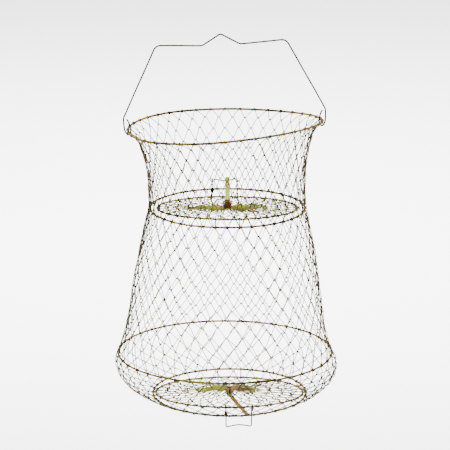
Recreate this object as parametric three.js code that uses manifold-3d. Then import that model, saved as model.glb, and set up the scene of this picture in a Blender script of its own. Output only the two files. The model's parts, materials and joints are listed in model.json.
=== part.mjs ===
// Folding wire trap: a hanging basket of five hoops joined by collapsible netting, with a lid
// in the neck and a lid in the floor. Millimetres, +Z up. The origin is the peak of the bail,
// where the trap hangs, so everything lies below it.
import * as THREE from 'three';
import { mergeVertices } from 'three/addons/utils/BufferGeometryUtils.js';
import Module from 'manifold-3d';

const wasm = await Module();
wasm.setup();

// ---- driving dimensions -------------------------------------------------------------------
const GAP = 0.5; // clearance between neighbouring pieces

const BAIL = { wire: 1.25, height: 139.9, roll: THREE.MathUtils.degToRad(2.8) };

// Hoops: centreline radius, wire radius, height of the centre, sideways shift of the centre.
const TOP = {
  radius: 146.5,
  wire: 1.7,
  z: -BAIL.height * Math.cos(BAIL.roll),
  x: BAIL.height * Math.sin(BAIL.roll),
};
const NECK = { radius: 117.5, wire: 1.5, z: TOP.z - 128.5, x: TOP.x + 3.8 };
const BELLY = { radius: 163.5, wire: 1.5, z: NECK.z - 227.5, x: TOP.x };
const BOTTOM = { radius: 117.5, wire: 1.5, z: BELLY.z - 65.5, x: TOP.x + 6.8 };
const TOP_PITCH = THREE.MathUtils.degToRad(3.3); // the front of the top hoop rides high

const HOOP_SEGMENTS = 52;
const WIRE_SIDES = 6;
const NET_THICKNESS = 1.6;
const EYE_ROOM = 7; // the lid netting stops this far inside its hoop, clear of the eyes
const NET_SEGMENTS = 44;

// Netting walls as radius against the share of the way down between the two hoops.
const NECK_WALL = [[0.055, 137.5], [0.09, 134.3], [0.16, 130], [0.38, 122.9], [0.6, 119.4], [0.965, 118.6]];
const BODY_WALL = [[0.02, 120.4], [0.14, 126], [0.35, 135.5], [0.62, 144.5], [0.8, 150.5], [0.9, 156], [0.985, 161]];
const BASE_WALL = [[0.04, 165.5], [0.22, 168], [0.42, 166.5], [0.6, 159], [0.76, 147], [0.9, 133], [0.96, 123]];

// Lids. Both are the same assembly; the floor lid is the neck lid turned upside down.
const LID_WIRE = 1.4;
const NECK_LID = {
  name: 'neck', radius: 106.3, tilt: THREE.MathUtils.degToRad(5.2), sink: 0, outer: NECK,
  handleShift: -4.5, handleLean: THREE.MathUtils.degToRad(-9), stripTurn: 0,
  tipReach: 109.8, tipRise: 29.5, handleHeight: 28,
};
const BOTTOM_LID = {
  name: 'bottom', radius: 113.2, tilt: THREE.MathUtils.degToRad(6), sink: 6, outer: BOTTOM,
  handleShift: 14.5, handleLean: THREE.MathUtils.degToRad(6), stripTurn: THREE.MathUtils.degToRad(15),
  tipReach: 108.5, tipRise: 14.3, handleHeight: 31,
};
const HUB = { flange: 13.5, boss: 4.6, bore: 2.3, top: 9.4, thickness: 2 };
const RIVET = { shank: 1.9, head: 4.4, headHeight: 1.8 };
const SPRING = { radius: 6.4, wire: 0.6, turns: 4 };
const STRIP = { width: 7, thickness: 1, low: 10.4, tail: 7, crownAt: 0.52, crownRise: 0.56 };
const HANDLE = { base: 20, end: 19.3, notch: 3.5, wire: 1, eyeGap: 1.3 };
const LINK = { wire: 0.8, offset: 18 };

// ---- materials ----------------------------------------------------------------------------
const hoopMetal = new THREE.MeshStandardMaterial({ color: 0x8c7a2e, metalness: 0.9, roughness: 0.35 });
const bailMetal = new THREE.MeshStandardMaterial({ color: 0x9a8136, metalness: 0.9, roughness: 0.3 });
const netMetal = new THREE.MeshStandardMaterial({ color: 0xa39b76, metalness: 0.8, roughness: 0.45 });
const stripMetal = new THREE.MeshStandardMaterial({ color: 0x7e8240, metalness: 0.9, roughness: 0.3 });
const fittingMetal = new THREE.MeshStandardMaterial({ color: 0x8a5f33, metalness: 0.9, roughness: 0.4 });

// ---- shape helpers ------------------------------------------------------------------------
const vec = (x, y, z) => new THREE.Vector3(x, y, z);

// A path that an extrusion samples at exactly the given points.
class WirePath extends THREE.Curve {
  constructor(points) {
    super();
    this.points = points;
  }

  indexAt(u) {
    return Math.round(u * (this.points.length - 1));
  }

  getPointAt(u, target = new THREE.Vector3()) {
    return target.copy(this.points[this.indexAt(u)]);
  }

  getTangentAt(u, target = new THREE.Vector3()) {
    const i = this.indexAt(u);
    const before = this.points[Math.max(i - 1, 0)];
    const after = this.points[Math.min(i + 1, this.points.length - 1)];
    return target.subVectors(after, before).normalize();
  }
}

// Round section with flats, used for every drawn wire.
function wireSection(radius) {
  const corners = [];
  for (let i = 0; i < WIRE_SIDES; i += 1) {
    const a = (i / WIRE_SIDES) * Math.PI * 2;
    corners.push(new THREE.Vector2(radius * Math.cos(a), radius * Math.sin(a)));
  }
  return new THREE.Shape(corners);
}

function wireGeometry(points, radius) {
  return new THREE.ExtrudeGeometry(wireSection(radius), {
    steps: points.length - 1,
    extrudePath: new WirePath(points),
  });
}

// Corners joined by straight runs, each corner bent to its own radius in a few short chords.
function bentPoints(corners, chords = 4) {
  const points = [corners[0].at.clone()];
  for (let i = 1; i < corners.length - 1; i += 1) {
    const { at, bend } = corners[i];
    const back = corners[i - 1].at.clone().sub(at);
    const on = corners[i + 1].at.clone().sub(at);
    const reach = Math.min(bend, back.length() * 0.45, on.length() * 0.45);
    const start = at.clone().add(back.setLength(reach));
    const end = at.clone().add(on.setLength(reach));
    const arc = new THREE.QuadraticBezierCurve3(start, at, end);
    points.push(...arc.getPoints(chords));
  }
  points.push(corners[corners.length - 1].at.clone());
  return points;
}

function hoopGeometry(radius, wire) {
  return new THREE.TorusGeometry(radius, wire, WIRE_SIDES, HOOP_SEGMENTS);
}

// A solid of revolution about +Z from a closed outline of [radius, height] pairs.
function turned(outline, segments) {
  const points = outline.map(([r, z]) => new THREE.Vector2(r, z));
  return new THREE.LatheGeometry(points, segments).rotateX(Math.PI / 2);
}

// A thin wall that follows [radius, height] stations from top to bottom.
function wallGeometry(stations, segments) {
  const half = NET_THICKNESS / 2;
  const inner = stations.map(([r, z]) => [r - half, z]);
  const outer = stations.map(([r, z]) => [r + half, z]).reverse();
  return turned([...inner, ...outer, inner[0]], segments);
}

function solidOf(geometry) {
  const bare = geometry.clone();
  bare.deleteAttribute('normal');
  bare.deleteAttribute('uv');
  const merged = mergeVertices(bare, 1e-4);
  return new wasm.Manifold(new wasm.Mesh({
    numProp: 3,
    vertProperties: merged.attributes.position.array,
    triVerts: new Uint32Array(merged.index.array),
  }));
}

function geometryOf(solid) {
  const mesh = solid.getMesh();
  const geometry = new THREE.BufferGeometry();
  geometry.setAttribute('position', new THREE.BufferAttribute(mesh.vertProperties, 3));
  geometry.setIndex(new THREE.BufferAttribute(mesh.triVerts, 1));
  return geometry;
}

function piece(name, geometry, material) {
  const mesh = new THREE.Mesh(geometry, material);
  mesh.name = name;
  return mesh;
}

// ---- bail ---------------------------------------------------------------------------------
// One end of the bail: the tail of the eye, round the hoop, and up the leg to the centre.
function bailHalf(side) {
  const eyeX = TOP.radius;
  const corner = (x, z, bend) => ({ at: vec(side * x, 0, z), bend });
  return [
    corner(eyeX + 1.6, 16.5, 0),
    corner(eyeX - 2.2, 9, 4),
    corner(eyeX - 4.2, -2.5, 4),
    corner(eyeX - 0.4, -8.6, 5),
    corner(eyeX + 3.6, -1.8, 4),
    corner(eyeX + 5.3, 10.2, 3),
    corner(eyeX + 5.5, 18, 4),
    corner(97.8, 127.1, 8),
    corner(28.5, 123.5, 4),
    corner(1.5, BAIL.height - 0.4, 3),
  ];
}

function makeBail() {
  const left = bailHalf(-1);
  const right = bailHalf(1).reverse();
  return piece('bail', wireGeometry(bentPoints([...left, ...right]), BAIL.wire), bailMetal);
}

// ---- hoops and netting --------------------------------------------------------------------
// Stations of a wall between two hoops, measured from the origin.
function wallStations(wall, upper, lower) {
  return wall.map(([share, radius]) => [radius, upper.z + (lower.z - upper.z) * share]);
}

// Leans a wall so that each end is centred on its own hoop and lies in that hoop's plane.
function leanWall(geometry, upper, lower, upperSlope = { x: 0, y: 0 }) {
  const place = geometry.attributes.position;
  for (let i = 0; i < place.count; i += 1) {
    const share = (upper.z - place.getZ(i)) / (upper.z - lower.z);
    const rise = (place.getX(i) * upperSlope.x + place.getY(i) * upperSlope.y) * (1 - share);
    place.setX(i, place.getX(i) + upper.x + (lower.x - upper.x) * share);
    place.setZ(i, place.getZ(i) + rise);
  }
  return geometry;
}

function makeNet(name, wall, upper, lower, upperSlope) {
  const geometry = wallGeometry(wallStations(wall, upper, lower), NET_SEGMENTS);
  return piece(name, leanWall(geometry, upper, lower, upperSlope), netMetal);
}

function makeHoop(name, hoop) {
  const mesh = piece(name, hoopGeometry(hoop.radius, hoop.wire), hoopMetal);
  mesh.position.set(hoop.x, 0, hoop.z);
  return mesh;
}

// ---- lid pieces, in the lid's own frame: +Z out of the trap, +Y towards the handle ---------
function lidNet(lid) {
  const outerRadius = lid.radius - EYE_ROOM;
  const innerRadius = HUB.flange + GAP;
  const half = NET_THICKNESS / 2;
  const outline = [
    [outerRadius, half],
    [innerRadius, half - lid.sink],
    [innerRadius, -half - lid.sink],
    [outerRadius, -half],
    [outerRadius, half],
  ];
  return turned(outline, NET_SEGMENTS);
}

// Flange that gathers the netting, with a boss for the latch to turn on.
function lidHub(lid) {
  const low = -lid.sink - HUB.thickness / 2;
  const top = low + HUB.thickness;
  const outline = [
    [HUB.bore, low],
    [HUB.flange, low],
    [HUB.flange, top],
    [HUB.boss, top],
    [HUB.boss, HUB.top - lid.sink],
    [HUB.bore, HUB.top - lid.sink],
    [HUB.bore, low],
  ];
  return turned(outline, 20);
}

function latchRivet(lid) {
  const low = -lid.sink - HUB.thickness / 2 - GAP;
  const seat = STRIP.low - lid.sink + STRIP.thickness / 2 + 0.4;
  const outline = [
    [0, low - 1.2],
    [RIVET.head * 0.8, low - 1.2],
    [RIVET.head * 0.8, low],
    [RIVET.shank, low],
    [RIVET.shank, seat],
    [RIVET.head, seat],
    [RIVET.head * 0.72, seat + RIVET.headHeight * 0.75],
    [0, seat + RIVET.headHeight],
  ];
  return turned(outline, 16);
}

// Coil round the boss, holding the strip up against the rivet head.
function latchSpring(lid) {
  const low = -lid.sink + HUB.thickness / 2 + GAP + SPRING.wire;
  const high = STRIP.low - lid.sink - STRIP.thickness / 2 - GAP - SPRING.wire;
  const perTurn = 12;
  const points = [];
  for (let i = 0; i <= SPRING.turns * perTurn; i += 1) {
    const share = i / (SPRING.turns * perTurn);
    const a = share * SPRING.turns * Math.PI * 2;
    const z = low + (high - low) * share;
    points.push(vec(SPRING.radius * Math.cos(a), SPRING.radius * Math.sin(a), z));
  }
  return wireGeometry(points, SPRING.wire);
}

// Side view of the strip's middle line, as [distance from the pivot, height].
function stripLine(lid) {
  const { tipReach, tipRise } = lid;
  const low = STRIP.low - lid.sink;
  const crown = [tipReach * STRIP.crownAt, low + (tipRise - low) * STRIP.crownRise];
  return [[-STRIP.tail, low], [STRIP.tail, low], crown, [tipReach, tipRise]];
}

function latchStrip(lid) {
  const line = stripLine(lid).map(([y, z]) => new THREE.Vector2(y, z));
  const half = STRIP.thickness / 2;
  const above = [];
  const below = [];
  line.forEach((point, i) => {
    const before = line[Math.max(i - 1, 0)];
    const after = line[Math.min(i + 1, line.length - 1)];
    const along = after.clone().sub(before).normalize();
    const across = new THREE.Vector2(-along.y, along.x).multiplyScalar(half);
    above.push(point.clone().add(across));
    below.push(point.clone().sub(across));
  });
  const outline = new THREE.Shape([...below, ...above.reverse()]);
  const ribbon = new THREE.ExtrudeGeometry(outline, { depth: STRIP.width, bevelEnabled: false });
  ribbon.applyMatrix4(new THREE.Matrix4().makeBasis(vec(0, 1, 0), vec(0, 0, 1), vec(1, 0, 0)));
  ribbon.translate(-STRIP.width / 2, 0, 0);
  const drill = new THREE.CylinderGeometry(HUB.bore, HUB.bore, 10, 16).rotateX(Math.PI / 2);
  drill.translate(0, 0, STRIP.low - lid.sink);
  return geometryOf(solidOf(ribbon).subtract(solidOf(drill)));
}

// Wire loop with an M-shaped end; each foot wraps round the lid hoop.
function lidHandle(lid) {
  const eye = LID_WIRE + HANDLE.wire + HANDLE.eyeGap;
  const foot = (side) => [
    { at: vec(side * (HANDLE.base + 0.5), eye * 0.9, eye * 1.6), bend: 0 },
    { at: vec(side * (HANDLE.base + 0.3), eye, 0), bend: 2.2 },
    { at: vec(side * HANDLE.base, 0, -eye * 1.25), bend: 2.4 },
    { at: vec(side * HANDLE.base, -eye, 0), bend: 2.2 },
    { at: vec(side * (HANDLE.base - 0.6), -eye * 0.45, eye * 1.8), bend: 2.2 },
    { at: vec(side * HANDLE.end, 0, lid.handleHeight), bend: 3 },
  ];
  const middle = { at: vec(0, 0, lid.handleHeight - HANDLE.notch), bend: 4 };
  return wireGeometry(bentPoints([...foot(-1), middle, ...foot(1).reverse()]), HANDLE.wire);
}

// Split link that ties the lid hoop to the outer hoop and lets it swing. It runs from the
// centre of the outer hoop's wire at the origin to the lid hoop's wire at (0, y, z).
function lidLink(y, z) {
  const length = Math.hypot(y, z);
  const inside = Math.max(LID_WIRE, NECK.wire) + LINK.wire + GAP;
  const points = [];
  const turn = (centre, from, to) => {
    for (let i = 0; i <= 6; i += 1) {
      const a = from + ((to - from) * i) / 6;
      points.push(vec(0, centre + inside * Math.cos(a), inside * Math.sin(a)));
    }
  };
  points.push(vec(0, length * 0.45, -inside));
  turn(0, -Math.PI / 2, (-3 * Math.PI) / 2);
  turn(length, Math.PI / 2, -Math.PI / 2);
  points.push(vec(0, length * 0.45 + GAP, -inside));
  return wireGeometry(points, LINK.wire).rotateX(Math.atan2(z, y));
}

// ---- lid assembly -------------------------------------------------------------------------
function makeLid(lid) {
  const group = new THREE.Group();
  const frame = new THREE.Group();
  frame.rotation.x = -lid.tilt;
  group.add(frame);
  const named = (part) => `${lid.name}_${part}`;
  const ring = hoopGeometry(lid.radius, LID_WIRE);
  frame.add(piece(named('lid_ring'), ring, hoopMetal));
  frame.add(piece(named('lid_net'), lidNet(lid), netMetal));
  frame.add(piece(named('lid_hub'), lidHub(lid), fittingMetal));
  frame.add(piece(named('latch_rivet'), latchRivet(lid), fittingMetal));
  frame.add(piece(named('latch_spring'), latchSpring(lid), fittingMetal));

  const strip = piece(named('latch_strip'), latchStrip(lid), stripMetal);
  strip.rotation.z = -lid.stripTurn;
  frame.add(strip);

  const handle = piece(named('lid_handle'), lidHandle(lid), bailMetal);
  const around = Math.asin(lid.handleShift / lid.radius);
  const feetAt = Math.sqrt(lid.radius ** 2 - HANDLE.base ** 2);
  handle.position.set(feetAt * Math.sin(around), feetAt * Math.cos(around), 0);
  handle.rotation.set(lid.handleLean, 0, -around, 'ZYX');
  frame.add(handle);

  const outerY = -Math.sqrt(lid.outer.radius ** 2 - LINK.offset ** 2);
  const rimY = -Math.sqrt(lid.radius ** 2 - LINK.offset ** 2);
  const rim = vec(0, rimY, 0).applyAxisAngle(vec(1, 0, 0), -lid.tilt);
  for (const [side, word] of [[-1, 'left'], [1, 'right']]) {
    const link = piece(named(`lid_link_${word}`), lidLink(rim.y - outerY, rim.z), fittingMetal);
    link.position.set(side * LINK.offset, outerY, 0);
    group.add(link);
  }
  return group;
}

// ---- assembly -----------------------------------------------------------------------------
function makeTrap() {
  const trap = new THREE.Group();

  const hanger = new THREE.Group();
  hanger.position.set(TOP.x, 0, TOP.z);
  hanger.rotation.y = -BAIL.roll;
  const topRing = piece('top_ring', hoopGeometry(TOP.radius, TOP.wire), hoopMetal);
  topRing.rotation.x = -TOP_PITCH;
  hanger.add(makeBail(), topRing);
  trap.add(hanger);

  const topSlope = { x: Math.tan(BAIL.roll), y: -Math.tan(TOP_PITCH) };
  trap.add(makeNet('neck_net', NECK_WALL, TOP, NECK, topSlope));
  trap.add(makeHoop('neck_ring', NECK));
  trap.add(makeNet('body_net', BODY_WALL, NECK, BELLY));
  trap.add(makeHoop('belly_ring', BELLY));
  trap.add(makeNet('base_net', BASE_WALL, BELLY, BOTTOM));
  trap.add(makeHoop('bottom_ring', BOTTOM));

  const neckLid = makeLid(NECK_LID);
  neckLid.position.set(NECK.x, 0, NECK.z);
  trap.add(neckLid);

  const bottomLid = makeLid(BOTTOM_LID);
  bottomLid.position.set(BOTTOM.x, 0, BOTTOM.z);
  bottomLid.rotation.x = Math.PI;
  trap.add(bottomLid);
  return trap;
}

export default makeTrap();
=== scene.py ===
"""Folding wire trap: bright plated wire netting, hoops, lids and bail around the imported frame."""

import json
import math

import bpy
import bmesh
import numpy as np
from bpy.props import FloatProperty, FloatVectorProperty, IntProperty, PointerProperty, StringProperty
from mathutils import Matrix, Vector, noise


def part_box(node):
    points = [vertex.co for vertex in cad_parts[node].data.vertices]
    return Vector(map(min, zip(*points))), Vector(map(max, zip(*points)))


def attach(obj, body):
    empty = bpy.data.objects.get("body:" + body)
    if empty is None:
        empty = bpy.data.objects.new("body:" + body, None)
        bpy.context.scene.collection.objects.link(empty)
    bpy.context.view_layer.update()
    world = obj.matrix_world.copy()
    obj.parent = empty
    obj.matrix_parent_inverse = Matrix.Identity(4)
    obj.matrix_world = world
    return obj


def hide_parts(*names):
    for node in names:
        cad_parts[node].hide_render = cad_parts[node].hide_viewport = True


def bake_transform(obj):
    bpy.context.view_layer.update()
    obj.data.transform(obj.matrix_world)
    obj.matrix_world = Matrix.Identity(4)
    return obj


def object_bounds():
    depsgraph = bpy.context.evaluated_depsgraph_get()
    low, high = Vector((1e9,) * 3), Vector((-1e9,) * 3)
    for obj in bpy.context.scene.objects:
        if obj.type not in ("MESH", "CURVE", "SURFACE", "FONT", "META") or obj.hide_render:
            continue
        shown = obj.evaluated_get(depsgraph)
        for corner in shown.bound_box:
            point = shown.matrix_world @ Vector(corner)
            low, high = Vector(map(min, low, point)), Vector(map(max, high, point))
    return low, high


bl_info = {
    "name": "Folding wire trap",
    "version": (1, 0, 0),
    "blender": (4, 5, 0),
    "location": "3D View > Sidebar > Trap",
    "description": "Builds the netting, hoops, lids and bail of a folding wire trap on its frame",
    "category": "Add Mesh",
}

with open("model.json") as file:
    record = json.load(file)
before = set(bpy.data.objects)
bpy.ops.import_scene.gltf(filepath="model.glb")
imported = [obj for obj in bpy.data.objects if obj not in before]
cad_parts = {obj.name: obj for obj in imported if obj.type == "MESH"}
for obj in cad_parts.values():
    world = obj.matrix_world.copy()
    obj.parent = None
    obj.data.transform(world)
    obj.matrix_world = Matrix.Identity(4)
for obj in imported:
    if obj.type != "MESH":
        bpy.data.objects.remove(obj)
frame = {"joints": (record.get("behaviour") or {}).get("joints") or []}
CAD_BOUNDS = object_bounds()
JOINTS = {joint["name"]: joint for joint in frame["joints"]}
MM = 0.001
TURN = 2 * math.pi
NOISE_SEED = 7  # never 0, which would seed the noise from the clock


# ---- places taken from the frame -------------------------------------------------------------
def hoop_place(node):
    """Centre and outside radius of a hoop, from its node's box."""
    low, high = (Vector(corner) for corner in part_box(node))
    return (low + high) / 2, (high.x - low.x) / 2


NECK_CENTRE, NECK_OUTSIDE = hoop_place("neck_ring")
BELLY_CENTRE, BELLY_OUTSIDE = hoop_place("belly_ring")
BOTTOM_CENTRE, BOTTOM_OUTSIDE = hoop_place("bottom_ring")
TOP_CENTRE = Vector(JOINTS["bail_swing"]["pos_m"])
TOP_AXIS = Vector(JOINTS["bail_swing"]["axis"])
BAIL_ROLL = math.atan2(TOP_AXIS.z, TOP_AXIS.x)
TOP_RADIUS = 0.1465
TOP_TWIST = 0.0032


# ---- settings --------------------------------------------------------------------------------
class TrapNettingSettings(bpy.types.PropertyGroup):
    cells: IntProperty(name="Cells Round", description="Meshes in one course", default=40, min=8)
    lid_cells: IntProperty(name="Lid Cells", description="Meshes round a lid", default=32, min=8)
    neck_courses: IntProperty(name="Neck Courses", description="Courses above the neck", default=8)
    body_courses: IntProperty(name="Body Courses", description="Courses to the belly", default=14)
    base_courses: IntProperty(name="Base Courses", description="Courses below the belly", default=6)
    lid_courses: IntProperty(name="Lid Courses", description="Courses from rim to hub", default=5)
    wire: FloatProperty(
        name="Wire Radius", description="Netting wire", default=0.0006, unit="LENGTH", precision=5
    )
    hook: FloatProperty(
        name="Hook", description="How far courses hook together", default=0.0011, unit="LENGTH"
    )
    loop: FloatProperty(
        name="Loop", description="Half the width of the loop at a knot", default=0.0013, unit="LENGTH"
    )
    depth: FloatProperty(
        name="Depth", description="Half the thickness of the netting", default=0.0011, unit="LENGTH"
    )
    slack: FloatProperty(
        name="Slack", description="How far knots stray from their places", default=0.0016, unit="LENGTH"
    )
    sway: FloatProperty(
        name="Sway", description="How far the wall strays in and out", default=0.002, unit="LENGTH"
    )
    seed: IntProperty(name="Seed", description="Picks one of the random layouts", default=7)


class TrapWireSettings(bpy.types.PropertyGroup):
    top: FloatProperty(name="Top Hoop", description="Wire radius", default=0.0017, unit="LENGTH")
    hoop: FloatProperty(name="Body Hoops", description="Wire radius", default=0.0015, unit="LENGTH")
    lid: FloatProperty(name="Lid Hoops", description="Wire radius", default=0.0014, unit="LENGTH")
    bail: FloatProperty(name="Bail", description="Wire radius", default=0.00125, unit="LENGTH")
    handle: FloatProperty(name="Lid Handles", description="Wire radius", default=0.001, unit="LENGTH")
    link: FloatProperty(name="Lid Links", description="Wire radius", default=0.0008, unit="LENGTH")
    spring: FloatProperty(name="Springs", description="Wire radius", default=0.0006, unit="LENGTH")


class TrapFinishSettings(bpy.types.PropertyGroup):
    gold: FloatVectorProperty(
        name="Gold", description="Bright plated face", subtype="COLOR", default=(0.24, 0.155, 0.03)
    )
    olive: FloatVectorProperty(
        name="Olive", description="Greener plated patches", subtype="COLOR", default=(0.035, 0.03, 0.01)
    )
    # Olive base of the bail and handles, partly plating colour and partly painted shade: darkened to stand
    # in for the dark reflections of the wire
    olive_and_shade: FloatVectorProperty(
        name="Dark", description="Dull olive plating of the bent wires", subtype="COLOR",
        default=(0.018, 0.017, 0.008)
    )
    brown: FloatVectorProperty(
        name="Brown", description="Darker, burnt patches", subtype="COLOR", default=(0.07, 0.035, 0.011)
    )
    copper: FloatVectorProperty(
        name="Copper", description="Orange-brown patches", subtype="COLOR", default=(0.24, 0.075, 0.012)
    )
    blue: FloatVectorProperty(
        name="Blue", description="Thin bluish film", subtype="COLOR", default=(0.1, 0.13, 0.1)
    )
    rose: FloatVectorProperty(
        name="Rose", description="Pinkish sheen of thick plating", subtype="COLOR",
        default=(0.26, 0.13, 0.06)
    )
    net: FloatVectorProperty(
        name="Net", description="Plating on the thin wire", subtype="COLOR", default=(0.075, 0.05, 0.018)
    )
    strip: FloatVectorProperty(
        name="Strip", description="Plating on the flat strip", subtype="COLOR", default=(0.2, 0.25, 0.015)
    )


def settings():
    return bpy.context.scene.trap_netting, bpy.context.scene.trap_wire, bpy.context.scene.trap_finish


# ---- node tree helper ------------------------------------------------------------------------
class Tree:
    """Adds nodes to a node tree and joins them as they are named."""

    def __init__(self, tree):
        self.tree = tree

    def node(self, kind, links=None, **values):
        made = self.tree.nodes.new(kind)
        for key, value in values.items():
            setattr(made, key, value)
        for key, source in (links or {}).items():
            self.feed(made.inputs[key], source)
        return made

    def feed(self, socket, source):
        if isinstance(source, bpy.types.NodeSocket):
            self.tree.links.new(source, socket)
        else:
            socket.default_value = source

    def math(self, operation, first, second=0.0, third=0.0):
        links = {0: first, 1: second, 2: third}
        return self.node("ShaderNodeMath", links, operation=operation).outputs[0]

    def curve(self, value, points):
        """A line through (x, y) points, read at value."""
        made = self.node("ShaderNodeFloatCurve", {"Value": value})
        made.mapping.use_clip = False
        line = made.mapping.curves[0]
        for x, y in points[1:-1]:
            line.points.new(x, y)
        line.points[0].location, line.points[-1].location = points[0], points[-1]
        for point in line.points:
            point.handle_type = "VECTOR"
        made.mapping.update()
        return made.outputs[0]

    def xyz(self, x, y, z):
        return self.node("ShaderNodeCombineXYZ", {0: x, 1: y, 2: z}).outputs[0]


def new_geometry_tree(name, inputs):
    """A geometry tree with one geometry input and the named value inputs."""
    group = bpy.data.node_groups.new(name, "GeometryNodeTree")
    group.interface.new_socket("Geometry", in_out="INPUT", socket_type="NodeSocketGeometry")
    group.interface.new_socket("Geometry", in_out="OUTPUT", socket_type="NodeSocketGeometry")
    for label, kind in inputs:
        group.interface.new_socket(label, in_out="INPUT", socket_type=f"NodeSocket{kind}")
    tree = Tree(group)
    return group, tree, tree.node("NodeGroupInput").outputs


def end_geometry_tree(tree, curves, profile, material):
    """Gives the curves a round section, realises them and sets the material."""
    tube = tree.node("GeometryNodeCurveToMesh", {"Curve": curves, "Profile Curve": profile})
    tube.inputs["Fill Caps"].default_value = True
    smooth = tree.node("GeometryNodeSetShadeSmooth", {"Geometry": tube.outputs[0]})
    real = tree.node("GeometryNodeRealizeInstances", {"Geometry": smooth.outputs[0]})
    painted = tree.node("GeometryNodeSetMaterial", {"Geometry": real.outputs[0], "Material": material})
    tree.node("NodeGroupOutput", {0: painted.outputs[0]})


def round_section(tree, radius, sides):
    section = tree.node("GeometryNodeCurvePrimitiveCircle", {"Radius": radius})
    section.inputs["Resolution"].default_value = sides
    return section.outputs["Curve"]


def grown(name, guide, group, values, place=None):
    """Runs a geometry tree on a guide object and returns the result as a plain mesh object."""
    modifier = guide.modifiers.new("Growth", "NODES")
    modifier.node_group = group
    sockets = {item.name: item.identifier for item in group.interface.items_tree if item.in_out == "INPUT"}
    for label, value in values.items():
        modifier[sockets[label]] = value
    graph = bpy.context.evaluated_depsgraph_get()
    mesh = bpy.data.meshes.new_from_object(guide.evaluated_get(graph))
    if not mesh.polygons:
        raise RuntimeError(f"{name} came out empty")
    bpy.data.objects.remove(guide)
    if place is not None:
        mesh.transform(place)
    mesh.name = name
    return linked(name, mesh)


# ---- mesh helpers ----------------------------------------------------------------------------
def linked(name, mesh):
    piece = bpy.data.objects.new(name, mesh)
    bpy.context.scene.collection.objects.link(piece)
    return piece


def guide_curve(name, points):
    curve = bpy.data.curves.new(name, "CURVE")
    curve.dimensions = "3D"
    spline = curve.splines.new("POLY")
    spline.points.add(len(points) - 1)
    for slot, point in zip(spline.points, points):
        slot.co = (*point, 1)
    return linked(name, curve)


def wire_mesh(paths, sides=12):
    """Tubes of round section along (points, radius, closed) paths, as one mesh."""
    built = bmesh.new()
    for points, radius, closed in paths:
        points = [Vector(point) for point in points]
        count = len(points)
        rings = []
        normal = None
        for i, point in enumerate(points):
            before = points[i - 1] if closed or i else point
            after = points[(i + 1) % count] if closed or i < count - 1 else point
            along = (after - before).normalized()
            if normal is None:
                normal = along.orthogonal().normalized()
            normal = (normal - along * normal.dot(along)).normalized()
            across = along.cross(normal)
            ring = []
            for k in range(sides):
                angle = TURN * k / sides
                offset = normal * math.cos(angle) + across * math.sin(angle)
                ring.append(built.verts.new(point + offset * radius))
            rings.append(ring)
        last = count if closed else count - 1
        twist = 0
        if closed:
            gaps = [(rings[0][k].co - rings[-1][0].co).length for k in range(sides)]
            twist = gaps.index(min(gaps))
        for i in range(last):
            here, there = rings[i], rings[(i + 1) % count]
            shift = twist if i == count - 1 else 0
            for k in range(sides):
                a, b = here[k], here[(k + 1) % sides]
                c, d = there[(k + 1 + shift) % sides], there[(k + shift) % sides]
                built.faces.new((a, b, c, d))
        if not closed:
            for ring, back in ((rings[0], True), (rings[-1], False)):
                built.faces.new(list(reversed(ring)) if back else ring)
    mesh = bpy.data.meshes.new("wire")
    built.to_mesh(mesh)
    built.free()
    mesh.shade_smooth()
    return mesh


def turned_mesh(outline, segments=64):
    """A solid turned about +Z from an open outline of (radius, height) that starts and ends on a wall."""
    built = bmesh.new()
    rings = []
    for radius, height in outline:
        if radius < 1e-6:
            rings.append([built.verts.new((0, 0, height))])
            continue
        ring = []
        for k in range(segments):
            angle = TURN * k / segments
            ring.append(built.verts.new((radius * math.cos(angle), radius * math.sin(angle), height)))
        rings.append(ring)
    pairs = list(zip(rings, rings[1:]))
    if len(rings[0]) > 1:
        pairs.append((rings[-1], rings[0]))
    for here, there in pairs:
        for k in range(segments):
            n = (k + 1) % segments
            corners = [here[k % len(here)], here[n % len(here)]]
            corners += [there[n % len(there)], there[k % len(there)]]
            built.faces.new(list(dict.fromkeys(corners)))
    bmesh.ops.recalc_face_normals(built, faces=built.faces)
    mesh = bpy.data.meshes.new("turned")
    built.to_mesh(mesh)
    built.free()
    mesh.shade_smooth()
    return mesh


def bent(corners, chords=8):
    """Straight runs between corners of (point, bend), each bend rounded in short chords."""
    points = [Vector(corners[0][0])]
    for before, (at, bend), after in zip(corners, corners[1:], corners[2:]):
        at = Vector(at)
        back, on = Vector(before[0]) - at, Vector(after[0]) - at
        reach = min(bend, back.length * 0.45, on.length * 0.45)
        start, end = at + back.normalized() * reach, at + on.normalized() * reach
        for k in range(chords + 1):
            t = k / chords
            points.append(start * (1 - t) ** 2 + at * 2 * t * (1 - t) + end * t * t)
    points.append(Vector(corners[-1][0]))
    return points


def spaced(points, step):
    """The same path with no run longer than step."""
    out = [points[0]]
    for here, there in zip(points, points[1:]):
        parts = max(1, math.ceil((there - here).length / step))
        out += [here.lerp(there, k / parts) for k in range(1, parts + 1)]
    return out


def strayed(points, amount, scale, seed):
    """Moves points by smooth noise, as in wire that has been handled."""
    noise.seed_set(NOISE_SEED)
    shift = Vector((seed * 3.1, seed * 1.7, seed * 0.9))
    return [point + noise.noise_vector(point * scale + shift) * amount for point in points]


def joined_mesh(meshes):
    built = bmesh.new()
    for mesh in meshes:
        built.from_mesh(mesh)
    out = bpy.data.meshes.new("joined")
    built.to_mesh(out)
    built.free()
    out.shade_smooth()
    return out


def finished(name, mesh, material, body, slot, *nodes, place=None):
    """Places a mesh, gives it its finish, and rides it on its body in place of the named nodes."""
    if place is not None:
        mesh.transform(place)
    mesh.name = name
    mesh.materials.clear()
    mesh.materials.append(material)
    piece = linked(name, mesh)
    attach(piece, body)
    if nodes:
        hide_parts(*nodes)
    return piece


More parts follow.
